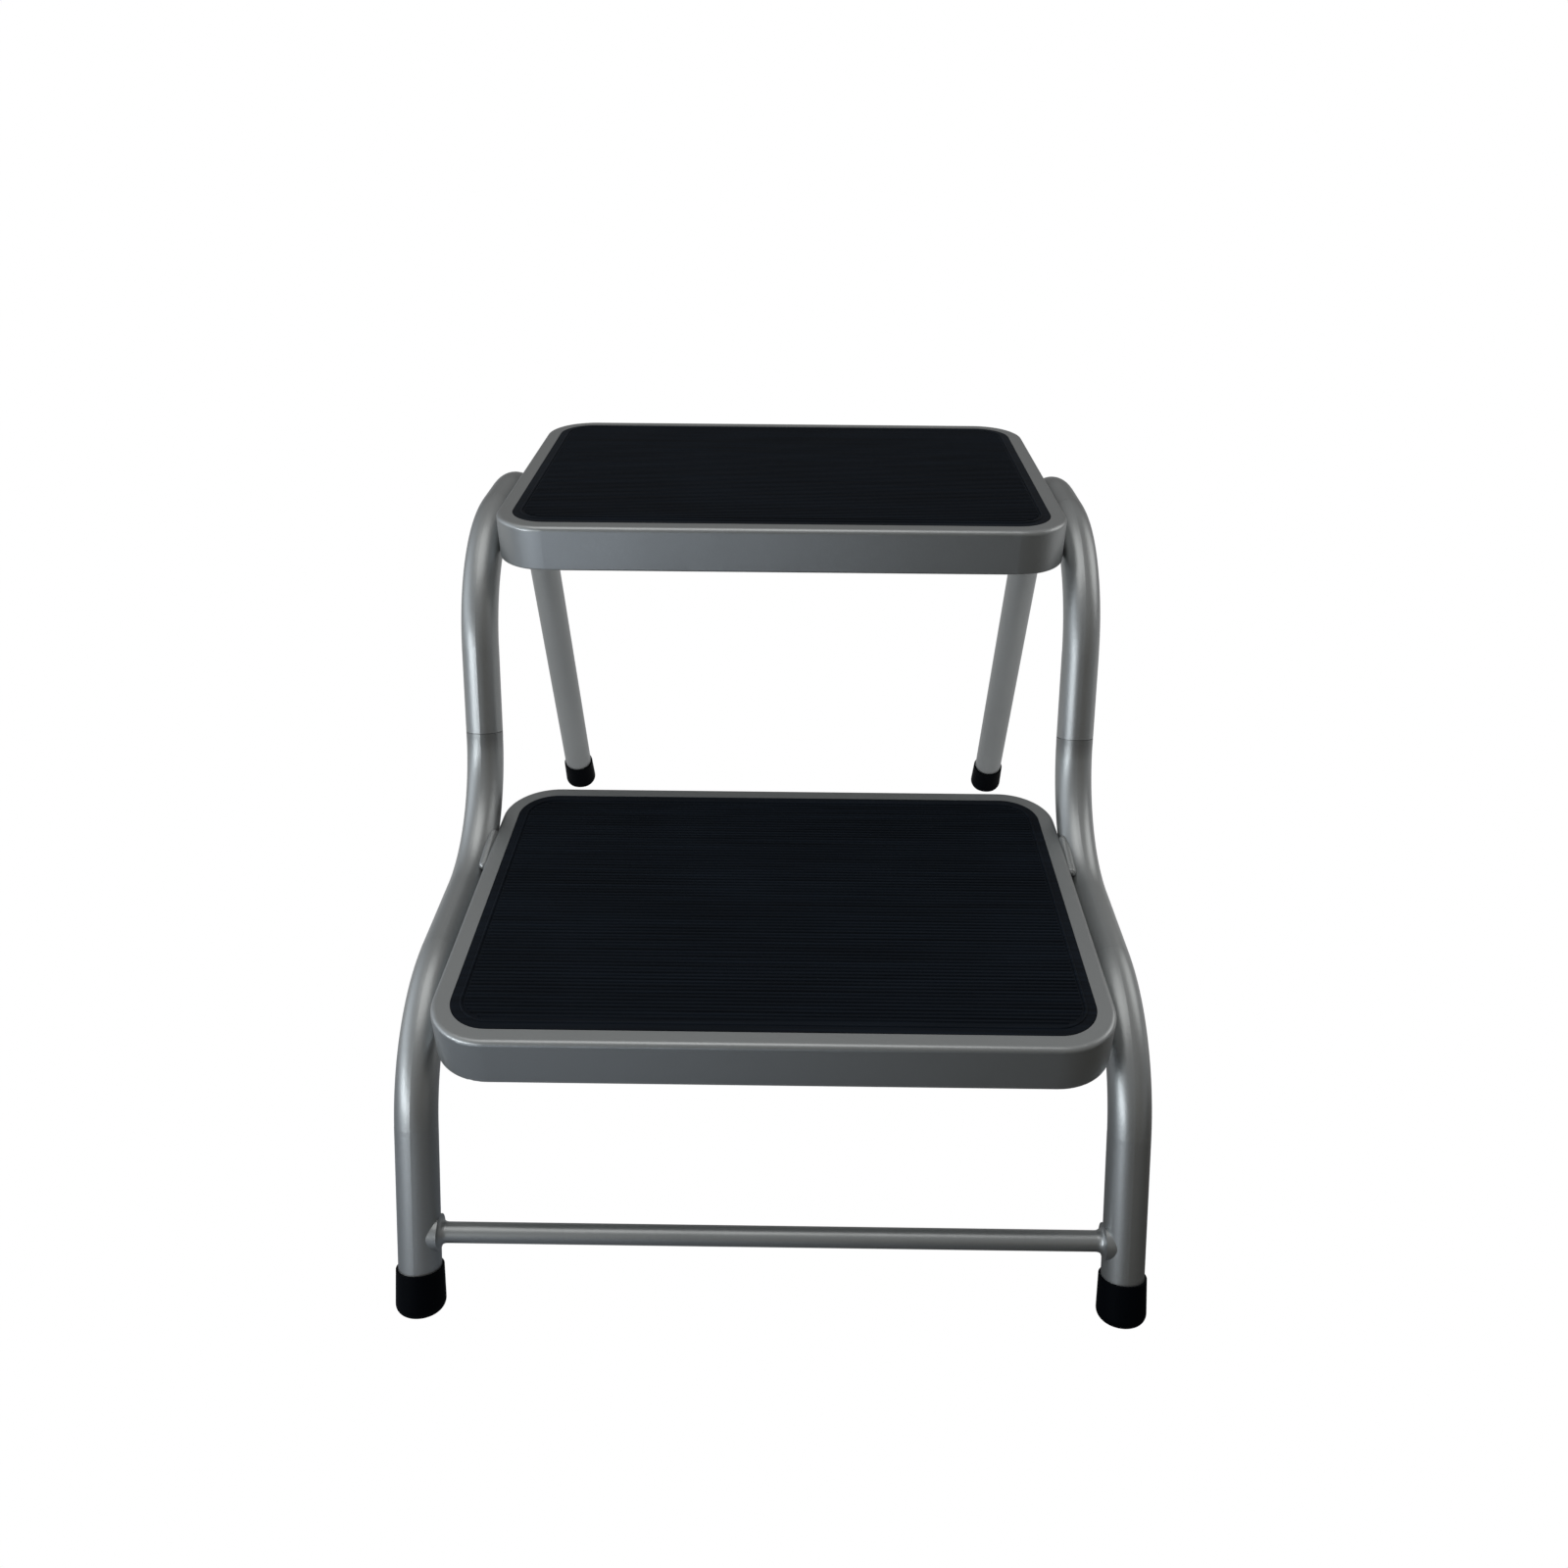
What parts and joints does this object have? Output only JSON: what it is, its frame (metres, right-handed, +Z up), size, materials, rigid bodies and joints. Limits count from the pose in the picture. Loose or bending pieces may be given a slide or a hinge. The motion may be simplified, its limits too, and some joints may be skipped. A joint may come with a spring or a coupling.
{
  "type": "entry step",
  "caption": "Free-standing caravan entry step: bent tube side frames carry stepped pressed treads with ribbed rubber mats, a front cross bar and rubber feet.",
  "frame": {"origin": "on the floor under the middle of the step", "axes": "+X to the right of someone facing the step, +Y from the front of the step to its back, +Z up"},
  "size_m": [0.4436, 0.6338, 0.3741],
  "materials": {
    "painted_frame": "satin",
    "black_rubber": "matte"
  },
  "bodies": {
    "root": {"lower_tube_left": "painted_frame", "lower_tube_right": "painted_frame", "upper_tube_left": "painted_frame", "upper_tube_right": "painted_frame", "front_cross_bar": "painted_frame", "lower_tread_pan": "painted_frame", "upper_tread_pan": "painted_frame", "lower_tread_mat": "black_rubber", "upper_tread_mat": "black_rubber", "foot_front_left": "black_rubber", "foot_front_right": "black_rubber", "foot_rear_left": "black_rubber", "foot_rear_right": "black_rubber"}
  },
  "joints": []
}
